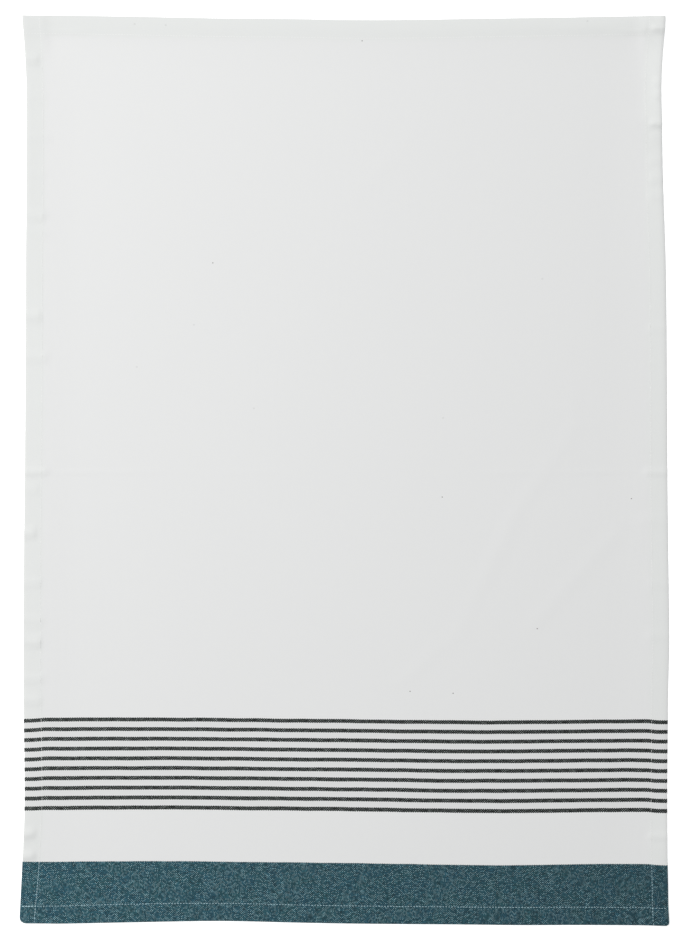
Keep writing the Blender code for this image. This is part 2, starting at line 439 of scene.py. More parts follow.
TILT_EASE = 3.5 * MM         # inside the seam the tilt fades out over about this length
TOP_SHIFT = 2.5 * MM         # the top hem's tilt starts this far inside its seam


def tilt(from_edge, hem):
    """Share of its lift that a hem has here: straight from the rim to the seam, then fading out."""
    inwards = hem - from_edge
    return (inwards + math.hypot(inwards, TILT_EASE)) / 2 / hem


def rim_lift(from_side, from_end, x, y):
    """Height that a hem gains towards its rim, less what it loses where the rim rounds over."""
    droop = SIDE_LIFT.read("right_droop", y) if x > 0 else LEFT_DROOP
    lift = SIDE_LIFT.read("right" if x > 0 else "left", y) * tilt(from_side, SIDE_HEM)
    lift -= droop * max(0.0, 1 - from_side / SIDE_ROUND) ** 2
    if y < 0:
        return lift + BOTTOM_LIFT * tilt(from_end, END_HEM)
    lift += TOP_LIFT.read("lift", x) * tilt(from_end - TOP_SHIFT, END_HEM)
    return lift - TOP_LIFT.read("droop", x) * max(0.0, 1 - from_end / TOP_ROUND) ** 2


print(f"left rim tips up by {rim_lift(0.0, LENGTH / 2, -WIDTH / 2, 300 * MM) / MM:.2f} mm near the top")

# %% Height of the front layer
HEM_SLOPE = 26 * MM          # over this length the cloth comes down from a hem to the table
SQUEEZE = 0.55               # the iron presses the nine layers of a corner to this share of their height
STACK_SLOPE = 8 * MM         # over this length a corner's thick folds thin out to an end hem's


def stack_at(from_side):
    """How thick the cloth is before an end is hemmed: three pressed layers over a side hem, then one."""
    return CLOTH + (SQUEEZE * HEM_STACK - CLOTH) * ease(1 - (from_side - SIDE_HEM) / STACK_SLOPE)


def squeeze_at(end_reach):
    """How far a side hem's layers are pressed together, at this reach from the cut end."""
    inside = end_reach - sum(hem_runs(END_HEM)) - END_HEM
    return 1 - (1 - SQUEEZE) * ease(1 - inside / HEM_SLOPE)


def front_height(from_side, from_end, x, y):
    """Height of the middle of the front layer above the table."""
    beside_hem = 2 * fold_radii(CLOTH)[0] * ease(1 - (from_side - SIDE_HEM) / HEM_SLOPE)
    on_end_hem = 2 * fold_radii(stack_at(from_side))[0]
    end_share = ease(1 - (from_end - END_HEM) / HEM_SLOPE)
    inside = ease((from_side - SIDE_HEM) / HEM_SLOPE) * ease((from_end - END_HEM) / HEM_SLOPE)
    slack = max(highest_fold(RIDGES, RIDGE_TAPER, x, y), slow_swell(x, y)) * inside
    rise = beside_hem + (on_end_hem - beside_hem) * end_share + rim_lift(from_side, from_end, x, y)
    puckers = highest_fold(PUCKERS, PUCKER_TAPER, x, y) + fine_puckers(from_side, from_end, x, y)
    return REST_HEIGHT + CLOTH / 2 + rise + slack + puckers


print("front of a side hem", round(front_height(SIDE_HEM / 2, 0.2, -0.24, 0.05) / MM, 2), "mm up")

# %% [markdown]
# One function now places any point of the cut cloth: it turns the side hem, then the end hem, and
# lays the result on the table. The cloth and all its stitches go through it, so they always meet.

# %% From the cut cloth to the laid towel
def lay(across_cut, along_cut, depth):
    """Where a point of the cut cloth lies on the table. Depth is its height over the middle of the
    cloth, towards the face."""
    side_reach = CUT_WIDTH / 2 - abs(across_cut)
    end_reach = CUT_LENGTH / 2 - abs(along_cut)
    from_side, side_depth = fold_hem(side_reach, depth, SIDE_HEM, CLOTH)
    side_depth *= squeeze_at(end_reach)
    from_end, height = fold_hem(end_reach, side_depth, END_HEM, stack_at(from_side))
    across = math.copysign(WIDTH / 2 - from_side, across_cut)
    along = math.copysign(LENGTH / 2 - from_end, along_cut)
    x, y = plan_point(across, along)
    return x, y, front_height(from_side, from_end, x, y) + height


print("middle of the face at", [round(place / MM, 2) for place in lay(0.0, 0.0, CLOTH / 2)], "mm")

# %% [markdown]
# ## The cloth's mesh
#
# The mesh is a grid over the whole cut piece, extruded to a face and a back, with every line of the
# grid where a fold, a hem or a crease needs one. The three layers of a hem share their lines, so they
# keep their gap when the hem puckers.

# %% Where the grid has its lines
COLUMN_STEP = 5.5 * MM
ROW_STEP = 3.4 * MM
HEM_MARKS = [mark * MM for mark in (0.9, 1.8, 3.0, 5.4, 7.6, 9.2, 10.6, 12.2)]
SLOPE_MARKS = [mark * MM for mark in (0.7, 2.5, 5.0, 8.0, 11.5, 15.5)]
CREASE_MARKS = [mark * MM for mark in (-5, -3.5, -1.8, 0, 1.8, 3.5, 5)]
CREASES = [place * MM for place in (-297, -280, -1, 264)]    # two puckers, the fold mark and a curl
INNER_FOLD_PARTS = 4
OUTER_FOLD_PARTS = 6


def hem_lines(hem_width):
    """Reaches of the grid lines from the cut edge to the foot of the slope inside the hem."""
    tuck, inner_fold, turning, outer_fold = hem_runs(hem_width)
    outer_centre, inner_centre = fold_centres(CLOTH, hem_width)
    tuck_marks = [mark for mark in HEM_MARKS if mark > inner_centre - tuck + MM]
    lines = [0.0] + [tuck - (inner_centre - mark) for mark in tuck_marks]
    lines += [tuck + inner_fold * k / INNER_FOLD_PARTS for k in range(INNER_FOLD_PARTS + 1)]
    lines += [tuck + inner_fold + inner_centre - mark for mark in reversed(HEM_MARKS)]
    turned = tuck + inner_fold + turning
    lines += [turned + outer_fold * k / OUTER_FOLD_PARTS for k in range(OUTER_FOLD_PARTS + 1)]
    front = HEM_MARKS + [inner_centre, hem_width] + [hem_width + mark for mark in SLOPE_MARKS]
    return lines + [turned + outer_fold + mark - outer_centre for mark in front]


def grid_lines(cut_size, hem_width, step, creases):
    """Places of all grid lines over one side of the cut cloth, from edge to edge, at most a step apart
    and closer at the creases."""
    low_edge = [-cut_size / 2 + reach for reach in hem_lines(hem_width)]
    marks = low_edge + [crease + mark for crease in creases for mark in CREASE_MARKS]
    marks += [-mark for mark in reversed(low_edge)]
    lines = [marks[0]]
    for low, high in zip(marks, marks[1:]):
        parts = max(1, math.ceil((high - low) / step - 0.001))
        lines += [low + (high - low) * k / parts for k in range(1, parts + 1)]
    return lines


columns = grid_lines(CUT_WIDTH, SIDE_HEM, COLUMN_STEP, [])
rows = grid_lines(CUT_LENGTH, END_HEM, ROW_STEP, CREASES)
print(len(columns), "columns and", len(rows), "rows")

# %% [markdown]
# ## Counting threads
#
# A weaver counts ends and picks, not millimetres. The warp has one end every 0.87 mm. Each stripe is
# 4 charcoal picks and the ground between two stripes is 6 white ones, so a repeat is 10 picks. The
# picks are beaten in a little less tightly towards the band. The mesh carries these two counts as a
# UV map, so the weave follows the cloth through every fold and bow.

# %% Ends and picks
WARP_SPACING = 0.867 * MM
STRIPE_COUNT = 10
STRIPE_PICKS = 4
REPEAT_PICKS = 10
TOP_STRIPE = -192.35 * MM
STRIPE_PITCH = 7.4 * MM
STRIPE_SPREAD = 0.019 * MM   # the pitch grows by twice this from each stripe to the next
BAND_PICK = 143              # the first teal pick, counted from the middle of the top stripe


def warp_number(across_cut):
    """Which warp end lies here, counted from the middle."""
    return across_cut / WARP_SPACING


def pick_number(along_cut):
    """Which pick lies here, counted down from the middle of the top stripe."""
    below = TOP_STRIPE - along_cut
    if below < 0:
        return REPEAT_PICKS * below / STRIPE_PITCH
    root = math.sqrt(STRIPE_PITCH**2 + 4 * STRIPE_SPREAD * below)
    return REPEAT_PICKS * (root - STRIPE_PITCH) / (2 * STRIPE_SPREAD)


print(f"band starts at pick {pick_number(BAND_TOP):.1f}; last pick {pick_number(-CUT_LENGTH / 2):.0f}")

# %% Build the cloth
def make_cloth():
    """The cut cloth as one closed sheet: a grid, extruded to two faces, then folded and laid."""
    sheet = bmesh.new()
    bmesh.ops.create_grid(sheet, x_segments=len(columns) - 1, y_segments=len(rows) - 1, size=0.5)
    column_of = sheet.verts.layers.int.new("column")
    row_of = sheet.verts.layers.int.new("row")
    is_face = sheet.verts.layers.int.new("is_face")
    for vert in sheet.verts:
        vert[column_of] = round((vert.co.x + 0.5) * (len(columns) - 1))
        vert[row_of] = round((vert.co.y + 0.5) * (len(rows) - 1))
    extruded = bmesh.ops.extrude_face_region(sheet, geom=sheet.faces[:])["geom"]
    for item in extruded:
        if isinstance(item, bmesh.types.BMVert):
            item[is_face] = 1
    for vert in sheet.verts:
        depth = CLOTH / 2 if vert[is_face] else -CLOTH / 2
        vert.co = lay(columns[vert[column_of]], rows[vert[row_of]], depth)
    bmesh.ops.recalc_face_normals(sheet, faces=sheet.faces[:])
    return sheet, column_of, row_of, is_face


sheet, column_of, row_of, is_face = make_cloth()
print(len(sheet.faces), "faces in the cloth")

# %% [markdown]
# ## Maps on the cloth
#
# The map called "threads" holds the counts of ends and picks for the weave. A second map lays the
# face, the back and the thin cut rims side by side without overlaps, for tools that bake the finish to
# a picture. The stripes run across, so the back can be narrow there without losing any of them.

# %% Thread counts and a flat layout
FACE_SPAN = (0.004, 0.716)    # shares of the picture
BACK_SPAN = (0.724, 0.984)
LENGTH_SPAN = (0.016, 0.996)
RIM_WIDTH = 0.003
LEFT_RIM, RIGHT_RIM, BOTTOM_RIM, TOP_RIM = 0.988, 0.994, 0.003, 0.009


def within(span, share):
    """The place at this share of a span."""
    return span[0] + (span[1] - span[0]) * share


def flat_place(corner_vert, others):
    """Where a corner of a mesh face lies in the flat layout, given all the face's corners."""
    across = columns[corner_vert[column_of]] / CUT_WIDTH + 0.5
    along = rows[corner_vert[row_of]] / CUT_LENGTH + 0.5
    sides = {vert[is_face] for vert in others}
    if sides == {1}:
        return within(FACE_SPAN, across), within(LENGTH_SPAN, along)
    if sides == {0}:
        return within(BACK_SPAN, across), within(LENGTH_SPAN, along)
    over = RIM_WIDTH * corner_vert[is_face]
    if {vert[column_of] for vert in others} in ({0}, {len(columns) - 1}):
        rim = LEFT_RIM if corner_vert[column_of] == 0 else RIGHT_RIM
        return rim + over, within(LENGTH_SPAN, along)
    rim = BOTTOM_RIM if corner_vert[row_of] == 0 else TOP_RIM
    return within(FACE_SPAN, across), rim + over


threads_map = sheet.loops.layers.uv.new("threads")
flat_map = sheet.loops.layers.uv.new("OFBake")
for face in sheet.faces:
    for loop in face.loops:
        vert = loop.vert
        loop[threads_map].uv = (warp_number(columns[vert[column_of]]), pick_number(rows[vert[row_of]]))
        loop[flat_map].uv = flat_place(vert, face.verts)
print("maps on the cloth:", ", ".join(sheet.loops.layers.uv.keys()))

# %% [markdown]
# ## The seams
#
# Each side hem is sewn down first, from end to end, and each end hem after it, from edge to edge, so
# the two lines cross near every corner. The lines wander a millimetre or so. They are short tables of
# the distance from the finished edge. The cloth keeps its distance from them as two more values at
# each vertex, because the finish draws a shallow furrow along a seam.

# %% Seam lines
SEAMS = {
    "left": Table("inset", (-350, 11.3), (-303, 13.0), (-253, 13.6), (0, 13.1), (350, 13.2)),
    "right": Table("inset", (-350, 12.4), (-250, 12.5), (0, 12.8), (350, 12.5)),
    "bottom": Table("inset", (-250, 13.3), (-170, 14.3), (0, 14.1), (150, 14.2), (250, 13.8)),
    "top": Table("inset", (-250, 14.0), (0, 14.3), (250, 14.2)),
}
SEAM_FAR = 9 * MM            # the stored distance stops here, well outside the furrow


def distance_to_seam(from_edge, edge, place):
    """How far inside an edge's seam a point lies that is this far from the edge, in millimetres."""
    return max(-SEAM_FAR, min(SEAM_FAR, from_edge - SEAMS[edge].read("inset", place))) / MM


SEAM_NAMES = ("side_seam", "end_seam")
side_seam, end_seam = [sheet.verts.layers.float.new(name) for name in SEAM_NAMES]
for vert in sheet.verts:
    across, along = columns[vert[column_of]], rows[vert[row_of]]
    from_side = fold_hem(CUT_WIDTH / 2 - abs(across), 0.0, SIDE_HEM, CLOTH)[0]
    from_end = fold_hem(CUT_LENGTH / 2 - abs(along), 0.0, END_HEM, CLOTH)[0]
    vert[side_seam] = distance_to_seam(from_side, "left" if across < 0 else "right", along)
    vert[end_seam] = distance_to_seam(from_end, "bottom" if along < 0 else "top", across)
print("seams marked on the cloth")

# %% Turn the sheet into an object
def add_object(name, data):
    """An object of this data at the origin, put in the scene."""
    made = bpy.data.objects.new(name, data)
    bpy.context.collection.objects.link(made)
    return made


def object_from(shape, name, sharp_degrees):
    """Makes a bmesh an object at the origin, shaded smooth except at edges sharper than this."""
    mesh = bpy.data.meshes.new(name)
    shape.to_mesh(mesh)
    shape.free()
    mesh.shade_smooth()
    mesh.set_sharp_from_angle(angle=math.radians(sharp_degrees))
    return add_object(name, mesh)


cloth = object_from(sheet, "towel_cloth", 60)
print(cloth.name, len(cloth.data.polygons), "faces")

# %% [markdown]
# ## Colours and nodes
#
# Colours are picked as sRGB hex values, and the shader wants linear light, so one function converts
# them. Another adds a node with its settings and its links.

# %% Helpers for materials
MATH = "ShaderNodeMath"
VECTOR_MATH = "ShaderNodeVectorMath"
RANGE = "ShaderNodeMapRange"
NOISE = "ShaderNodeTexNoise"
MIX = "ShaderNodeMix"


def srgb_to_linear(hex_colour):
    """A hex colour as linear red, green, blue and alpha."""
    parts = [int(hex_colour[k:k + 2], 16) / 255 for k in (1, 3, 5)]
    return [c / 12.92 if c <= 0.04045 else ((c + 0.055) / 1.055) ** 2.4 for c in parts] + [1.0]


def set_inputs(node, inputs):
    """Links or sets a node's inputs, from a list in the order of its sockets or from a dictionary by
    their names. Each is a socket to link from, or a value. Sockets that are switched off don't count."""
    in_use = [socket for socket in node.inputs if socket.enabled]
    if isinstance(inputs, dict):
        pairs = [(next(s for s in in_use if s.name == name), value) for name, value in inputs.items()]
    else:
        pairs = zip(in_use, inputs)
    for socket, value in pairs:
        if isinstance(value, bpy.types.NodeSocket):
            node.id_data.links.new(value, socket)
        else:
            socket.default_value = value


def add_node(tree, kind, inputs=(), **settings):
    """Adds a node with its settings and its inputs, and gives back its first output."""
    node = tree.nodes.new(kind)
    for name, value in settings.items():
        setattr(node, name, value)
    set_inputs(node, inputs)
    return next(socket for socket in node.outputs if socket.enabled)


def new_material(name):
    """A material with nodes, add_node for its own tree, and its shader."""
    material = bpy.data.materials.new(name)
    material.use_nodes = True
    return material, partial(add_node, material.node_tree), material.node_tree.nodes["Principled BSDF"]


print("undyed cotton in linear light:", [round(c, 3) for c in srgb_to_linear("#e2e2e1")])

# %% [markdown]
# ## Woven cotton
#
# The cloth is plain-woven cotton, yarn-dyed: the warp is undyed all over, and the weft changes from
# undyed to charcoal to teal. Matte fibres scatter the light, so the roughness is high and there is
# only a little sheen from the fuzz. In the ground both yarns are the same, and the weave shows as
# relief alone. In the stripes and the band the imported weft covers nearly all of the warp, which shows
# as pale points, one at every second crossing and staggered from pick to pick. That is what gives a
# stripe its beaded edges and the band its heathered look.
#
# A picture of cloth could be wrapped on instead. The thread counts keep the weave sharp at any
# distance, and true to the cloth's own folds.

# %% Where the threads are
WANDER_SCALE = 0.035         # per thread, so it changes over some 30 threads
WANDER_REACH = (1.2, 0.9, 0.0)    # threads

cotton, add, shader = new_material("plain-woven yarn-dyed cotton")
threads = add("ShaderNodeUVMap", uv_map="threads")

# Yarns wander a little to either side
wander = add(NOISE, {"Vector": threads, "Scale": WANDER_SCALE, "Detail": 1.0})
wander = wander.node.outputs["Color"]
wander = add(VECTOR_MATH, [wander, (0.5, 0.5, 0.5)], operation="SUBTRACT")
woven = add(VECTOR_MATH, [wander, WANDER_REACH, threads], operation="MULTIPLY_ADD")
counts = add("ShaderNodeSeparateXYZ", [woven]).node.outputs

# Each sine is zero between two threads, and their product is above zero where the warp is on top
half_turns = [add(MATH, [counts[k], math.pi], operation="MULTIPLY") for k in (0, 1)]
warp_wave, pick_wave = [add(MATH, [turn], operation="SINE") for turn in half_turns]
crossing = add(MATH, [warp_wave, pick_wave], operation="MULTIPLY")
warp_back = add(MATH, [warp_wave], operation="ABSOLUTE")
pick_back = add(MATH, [pick_wave], operation="ABSOLUTE")
warp_height = add(MATH, [warp_back, crossing], operation="ADD")
pick_height = add(MATH, [pick_back, crossing], operation="SUBTRACT")
relief = add(MATH, [warp_height, pick_height], operation="MAXIMUM")
print("weave repeats every", round(2 * WARP_SPACING / MM, 2), "mm across")

# %% Which yarn is woven in
PICK_BULGE = 0.22            # picks; a pick bulges over the ends that it covers
EDGE_BLUR = 0.1              # picks
LAST_STRIPE = (STRIPE_COUNT - 1) * REPEAT_PICKS

sway = add(MATH, [warp_wave, -PICK_BULGE, counts[1]], operation="MULTIPLY_ADD")
off_stripe = add(MATH, [sway, REPEAT_PICKS / 2, -REPEAT_PICKS / 2], operation="WRAP")
off_stripe = add(MATH, [off_stripe], operation="ABSOLUTE")
stripe_edge = {"From Min": STRIPE_PICKS / 2 + EDGE_BLUR, "From Max": STRIPE_PICKS / 2 - EDGE_BLUR}
in_stripe = add(RANGE, {"Value": off_stripe} | stripe_edge, interpolation_type="SMOOTHSTEP")
from_middle = add(MATH, [sway, LAST_STRIPE / 2], operation="SUBTRACT")
from_middle = add(MATH, [from_middle], operation="ABSOLUTE")
striped = add(MATH, [from_middle, (LAST_STRIPE + REPEAT_PICKS) / 2], operation="LESS_THAN")
in_stripe = add(MATH, [in_stripe, striped], operation="MULTIPLY")
FIELD_HALF = (LAST_STRIPE + STRIPE_PICKS) / 2
field_edge = {"From Min": FIELD_HALF, "From Max": FIELD_HALF - 1}
in_field = add(RANGE, {"Value": from_middle} | field_edge)
band_edge = {"From Min": BAND_PICK - EDGE_BLUR, "From Max": BAND_PICK + EDGE_BLUR}
in_band = add(RANGE, {"Value": sway} | band_edge, interpolation_type="SMOOTHSTEP")
dyed = add(MATH, [in_stripe, in_band], operation="ADD", use_clamp=True)
print("stripes cover picks", -STRIPE_PICKS // 2, "to", LAST_STRIPE + STRIPE_PICKS // 2)

# %% [markdown]
# No two crossings are alike, because yarn is spun with thick and thin places. A random value at each
# crossing sets how much of the warp shows there. Noise stretched along each pick and each end makes
# some lengths of yarn paler, and slow clouds shift the teal between blue and green.

# %% Uneven yarn
YARN_SCALE = 0.15            # per thread: a thick place of a yarn is about 6 mm long
CLOUD_SCALE = 0.07           # per thread: a cloud is about 12 mm wide


def yarn_tone(along):
    """Noise that runs along each yarn and changes from one yarn to the next."""
    across = tuple(1.0 - k for k in along)
    cell = add(VECTOR_MATH, [woven, across], operation="MULTIPLY")
    cell = add(VECTOR_MATH, [cell], operation="FLOOR")
    scale = [k * YARN_SCALE for k in along]
    run = add(VECTOR_MATH, [woven, scale, cell], operation="MULTIPLY_ADD")
    return add(NOISE, {"Vector": run, "Scale": 1.0, "Detail": 2.0, "Roughness": 0.6})


pick_tone = yarn_tone((1.0, 0.0, 0.0))
warp_tone = yarn_tone((0.0, 1.0, 0.0))
cell = add(VECTOR_MATH, [woven], operation="FLOOR")
crossing_chance = add("ShaderNodeTexWhiteNoise", [cell], noise_dimensions="2D")
clouds = add(NOISE, {"Vector": threads, "Scale": CLOUD_SCALE, "Detail": 3.0})
print(f"a thick place of a yarn is {WARP_SPACING / YARN_SCALE / MM:.1f} mm long")

# %% How much of the warp shows
STRIPE_THRESHOLD = 0.76      # the warp shows where the product of the sines is above this
STRIPE_VARIETY = 0.3         # how much that limit differs from crossing to crossing
BAND_THRESHOLD = 0.80
BAND_VARIETY = 1.4
THIN_YARN = 1.4              # how much thin places of a pick lower the limit, and thick ones raise it
POINT_BLUR = 0.05            # softens the rim of each pale point

thin_places = add(MATH, [pick_tone, -THIN_YARN, THIN_YARN / 2], operation="MULTIPLY_ADD")
limits = []
for middle, variety in ((STRIPE_THRESHOLD, STRIPE_VARIETY), (BAND_THRESHOLD, BAND_VARIETY)):
    centre = middle + variety / 2
    limit = add(MATH, [crossing_chance, -variety, centre], operation="MULTIPLY_ADD")
    limits.append(add(MATH, [limit, thin_places], operation="ADD"))
threshold = add(MIX, [in_band] + limits, data_type="FLOAT")
over = add(MATH, [crossing, threshold], operation="SUBTRACT")
point_edge = {"From Min": -POINT_BLUR, "From Max": POINT_BLUR}
warp_shows = add(RANGE, {"Value": over} | point_edge, interpolation_type="SMOOTHSTEP")
print("limits in the band:", [round(BAND_THRESHOLD + k * BAND_VARIETY / 2, 2) for k in (-1, 1)])

# %% Colours of the yarns, and painted shade
UNDYED = srgb_to_linear("#e2e2e1")
HEM_PAINTED_SHADE = srgb_to_linear("#e0e1df")        # painted shade: three layers let less of the white table shine through
SHADED = srgb_to_linear("#dbdbda")        # undyed picks that dark stripes on both sides take light from
STRIPE_POINT_SHADED = srgb_to_linear("#a3a9a6")  # undyed ends down between dark picks, greyed by painted shade
BAND_POINT_SHADED = srgb_to_linear("#92b8c0")    # undyed ends down between teal picks, greyed by painted shade and tinted teal
CHARCOAL = srgb_to_linear("#1f2321")
TEAL_BLUE = srgb_to_linear("#1f414d")
TEAL_GREEN = srgb_to_linear("#21434a")
HEM_SHADE_INSIDE, HEM_SHADE_OUTSIDE = 4.0, 1.0    # mm from a seam, between which the hems' painted shade comes in

cloud_share = add(RANGE, {"Value": clouds, "From Min": 0.35, "From Max": 0.65})
teal = add(MIX, [cloud_share, TEAL_BLUE, TEAL_GREEN], data_type="RGBA")
band = add(MIX, [warp_shows, teal, BAND_POINT_SHADED], data_type="RGBA")
stripe = add(MIX, [warp_shows, CHARCOAL, STRIPE_POINT_SHADED], data_type="RGBA")
dyed_cloth = add(MIX, [in_band, stripe, band], data_type="RGBA")

# Each length of pick and each crossing takes the dye a little differently, and a painted shade makes
# the dyed yarns darker towards the right, away from the lamp
HALF_ENDS = WIDTH / 2 / WARP_SPACING
for value, low, high, pale, dark in (
    (pick_tone, 0.7, 0.3, 1.40, 0.66),
    (crossing_chance, 0.0, 1.0, 1.55, 0.45),
    # painted shade, darker towards the right, away from the lamp
    (counts[0], -HALF_ENDS, HALF_ENDS, 1.17, 0.83),
):
    limits = {"From Min": low, "From Max": high, "To Min": pale, "To Max": dark}
    share = add(RANGE, {"Value": value} | limits)
    dyed_cloth = add(VECTOR_MATH, {"Vector": dyed_cloth, "Scale": share}, operation="SCALE")
marks = [add("ShaderNodeAttribute", attribute_name=name) for name in SEAM_NAMES]
seams = [mark.node.outputs["Fac"] for mark in marks]
# The hems get painted shade, as three layers let less of the white table shine through
hem_shade_edge = {"From Min": HEM_SHADE_INSIDE, "From Max": -HEM_SHADE_OUTSIDE}
hem_shade_shares = [add(RANGE, {"Value": seam} | hem_shade_edge) for seam in seams]
hem_shade_share = add(MATH, hem_shade_shares, operation="MAXIMUM")
ground_and_shade = add(MIX, [hem_shade_share, UNDYED, HEM_PAINTED_SHADE], data_type="RGBA")
ground_and_shade = add(MIX, [in_field, ground_and_shade, SHADED], data_type="RGBA")
colour = add(MIX, [dyed, ground_and_shade, dyed_cloth], data_type="RGBA")
print("charcoal in linear light:", [round(c, 3) for c in CHARCOAL])

# %% [markdown]
# Undyed cotton keeps a few flecks of seed husk. They are too few and too plain to need a texture: each
# is a dark dot at its own place, and the smallest of all the distances draws every one of them. Some
# lie on the face, and others are buried in the yarn and only shade it.

# %% Seed flecks
FACE_FLECKS = (
    (13.5, 330.6), (-101.3, 159.9), (75.1, -20.2), (220.6, -21.4), (148.2, -121.4), (50.4, -169.6),
    (83.5, -171.1),
)
BURIED_FLECKS = (
    (-115.9, 112.3), (-159.8, 79.9), (-69.7, 48.0), (75.8, 40.7), (152.1, 147.7), (-137.4, 342.5),
    (186.7, 345.6), (-161.3, 343.3),
)


def cut_place(x, y):
    """The place on the cut cloth that lies at this place in plan, found by a few corrections."""
    across, along = x, y
    for _ in range(6):
        laid_x, laid_y = plan_point(across, along)
        across, along = across + x - laid_x, along + y - laid_y
    return across, along


SEED_HUSK = srgb_to_linear("#69665f")
for flecks, size, strength in ((FACE_FLECKS, 0.40 * MM, 1.0), (BURIED_FLECKS, 0.75 * MM, 0.12)):
    nearest = 1000.0
    for x, y in flecks:
        across, along = cut_place(x * MM, y * MM)
        place = (warp_number(across), pick_number(along), 0.0)
        distance = add(VECTOR_MATH, [threads, place], operation="DISTANCE")
        nearest = add(MATH, [nearest, distance], operation="MINIMUM")
    fleck_edge = {"From Min": 1.5 * size / WARP_SPACING, "From Max": 0.7 * size / WARP_SPACING}
    in_fleck = add(RANGE, {"Value": nearest, "To Max": strength} | fleck_edge)
    colour = add(MIX, [in_fleck, colour, SEED_HUSK], data_type="RGBA")
print(len(FACE_FLECKS) + len(BURIED_FLECKS), "seed flecks")

# %% Relief of the weave and the seams
WEAVE_RELIEF = 0.025         # mm, of half the height from a crossing's foot to its top
YARN_RELIEF = 0.03           # mm, between thick and thin places of a yarn
FURROW_DEPTH = 0.015         # mm
FURROW_HALF = 1.3            # mm

height = add(MATH, [relief, WEAVE_RELIEF], operation="MULTIPLY")
for tone in (pick_tone, warp_tone):
    height = add(MATH, [tone, YARN_RELIEF, height], operation="MULTIPLY_ADD")
for seam in seams:
    off_seam = add(MATH, [seam], operation="ABSOLUTE")
    furrow_edge = {"Value": off_seam, "From Max": FURROW_HALF, "To Min": -FURROW_DEPTH, "To Max": 0.0}
    furrow = add(RANGE, furrow_edge, interpolation_type="SMOOTHSTEP")
    height = add(MATH, [height, furrow], operation="ADD")
bump = add("ShaderNodeBump", {"Strength": 1.0, "Distance": MM, "Height": height})

set_inputs(shader, {
    "Base Color": colour,
    "Normal": bump,
    "Roughness": 0.92,
    "IOR": 1.47,
    "Specular IOR Level": 0.3,
    "Sheen Weight": 0.08,
    "Sheen Roughness": 0.6,
})
cloth.data.materials.append(cotton)
print(len(cotton.node_tree.nodes), "nodes in the cotton")

# %% [markdown]
# ## Stitches
#
# A lockstitch shows one short length of thread for each stitch: the needle thread on the face and the
# bobbin thread on the back. Each length dives into the cloth at both holes. One stitch is modelled as
# a six-sided thread, extruded ring by ring. It is then sewn along the seams: the needle steps on until
# it is 2.2 mm from the last hole, and every corner of the stitch goes through the function that lays
# the cloth. The side seams therefore turn under with the end hems, as the real ones do.

# %% One stitch
STITCH_LENGTH = 2.2 * MM
STITCH_GAP = 0.75 * MM
THREAD = 0.32 * MM
THREAD_SIDES = 6
Ring = namedtuple("Ring", "share rise girth")
STITCH_RINGS = [Ring(*row) for row in (
    (0.00, -0.65, 0.6),
    (0.13, -0.10, 0.9),
    (0.32, 0.08, 1.0),
    (0.68, 0.08, 1.0),
    (0.87, -0.10, 0.9),
    (1.00, -0.65, 0.6),
)]


def make_stitch():
    """A stitch along X, 1 long, with its rings' rise and girth in thread diameters. Its map has the
    rings from left to right, the sides from bottom to top, and the two small ends at the right."""
    shape = bmesh.new()
    bmesh.ops.create_circle(shape, cap_ends=True, segments=THREAD_SIDES, radius=0.5)
    side_of = shape.verts.layers.int.new("side")
    ring_of = shape.verts.layers.int.new("ring")
    for side, vert in enumerate(sorted(shape.verts, key=lambda vert: math.atan2(vert.co.y, vert.co.x))):
        vert[side_of] = side
    turned = mathutils.Matrix.Rotation(math.radians(90), 4, "Y")
    bmesh.ops.transform(shape, matrix=turned, verts=shape.verts[:])
    cap = shape.faces[:]
    ends = shape.verts[:]
    previous = Ring(0.0, 0.0, 1.0)
    for number, ring in enumerate(STITCH_RINGS):
        if number:
            grown = bmesh.ops.extrude_face_region(shape, geom=cap)["geom"]
            if number > 1:
                bmesh.ops.delete(shape, geom=cap, context="FACES_ONLY")
            cap = [item for item in grown if isinstance(item, bmesh.types.BMFace)]
            ends = [item for item in grown if isinstance(item, bmesh.types.BMVert)]
            for vert in ends:
                vert[ring_of] = number
        step = (ring.share - previous.share, 0.0, ring.rise - previous.rise)
        centre = mathutils.Matrix.Translation((-previous.share, 0.0, -previous.rise))
        girth = ring.girth / previous.girth
        bmesh.ops.scale(shape, vec=(1.0, girth, girth), space=centre, verts=ends)
        bmesh.ops.translate(shape, vec=step, verts=ends)
        previous = ring
    bmesh.ops.recalc_face_normals(shape, faces=shape.faces[:])
    flat_map = shape.loops.layers.uv.new("OFBake")
    for face in shape.faces:
        is_end = len({vert[ring_of] for vert in face.verts}) == 1
        wraps = {vert[side_of] for vert in face.verts} == {0, THREAD_SIDES - 1}
        for loop in face.loops:
            ring, side = loop.vert[ring_of], loop.vert[side_of]
            if is_end:
                turn = 2 * math.pi * side / THREAD_SIDES
                middle = 0.25 if ring == 0 else 0.75
                loop[flat_map].uv = 0.93 + 0.04 * math.cos(turn), middle + 0.04 * math.sin(turn)
            else:
                side = THREAD_SIDES if wraps and side == 0 else side
                loop[flat_map].uv = 0.03 + 0.16 * ring, 0.03 + 0.94 * side / THREAD_SIDES
    mesh = bpy.data.meshes.new("one_stitch")
    shape.to_mesh(mesh)
    shape.free()
    return mesh


stitch = make_stitch()
print("one stitch:", len(stitch.polygons), "faces")

# %% [markdown]
# A seam is a line on the cut cloth. On the face it lies in the front layer, and on the back it lies in
# the turning, which shows the same side of the cloth turned over. Both are given by the reach from the
# cut edge at which the hem is folded.

# %% Where a seam lies on the cut cloth
def seam_reach(hem_width, inset, on_back):
    """Reach from the cut edge to a seam, in the front layer or in the turning."""
    tuck, inner_fold, turning, outer_fold = hem_runs(hem_width)
    outer_centre, inner_centre = fold_centres(CLOTH, hem_width)
    if on_back:
        return tuck + inner_fold + inner_centre - inset
    return tuck + inner_fold + turning + outer_fold + inset - outer_centre


